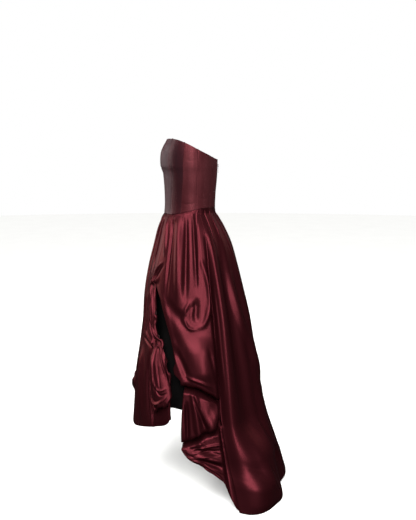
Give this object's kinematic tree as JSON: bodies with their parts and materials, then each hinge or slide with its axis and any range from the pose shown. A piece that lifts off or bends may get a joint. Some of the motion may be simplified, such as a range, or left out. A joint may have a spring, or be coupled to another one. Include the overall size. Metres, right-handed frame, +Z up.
{
  "type": "party dress",
  "caption": "Strapless party dress in its worn form: boned bodice, full high-low skirt picked up into drapes at front and sides, train, black underskirt, centre back zip.",
  "frame": {"origin": "middle of the waist on the body's axis, where the wearer holds the dress up", "axes": "+Z up; the front faces -Y and the wearer's left is +X"},
  "size_m": [0.673, 0.6141, 1.3316],
  "materials": {
    "satin": "heavy burgundy satin with a soft sheen",
    "underskirt": "plain matt black lining",
    "zip_tape": "matt woven tape",
    "zip_metal": "semi-gloss enamel"
  },
  "bodies": {
    "dress": {"bodice_centre_front": "satin", "bodice_side_front_left": "satin", "bodice_side_front_right": "satin", "bodice_side_left": "satin", "bodice_side_right": "satin", "bodice_side_back_left": "satin", "bodice_side_back_right": "satin", "bodice_back_left": "satin", "bodice_back_right": "satin", "skirt_front": "satin", "skirt_front_puff_left": "satin", "skirt_front_puff_right": "satin", "skirt_side_drape_left": "satin", "skirt_side_drape_right": "satin", "skirt_side_tier_left": "satin", "skirt_side_tier_right": "satin", "skirt_side_hem_left": "satin", "skirt_side_hem_right": "satin", "skirt_back_left": "satin", "skirt_back_right": "satin", "underskirt": "underskirt", "zip_tape": "zip_tape", "zip_slider": "zip_metal"},
    "pull_tab": {"zip_pull": "zip_metal"}
  },
  "joints": [
    {"name": "pull_tab_swing", "type": "hinge", "parent": "dress", "child": "pull_tab", "pos_m": [0, 0.10823, 0.17175], "axis": [1, 0, 0], "range_deg": [0, 165]}
  ]
}
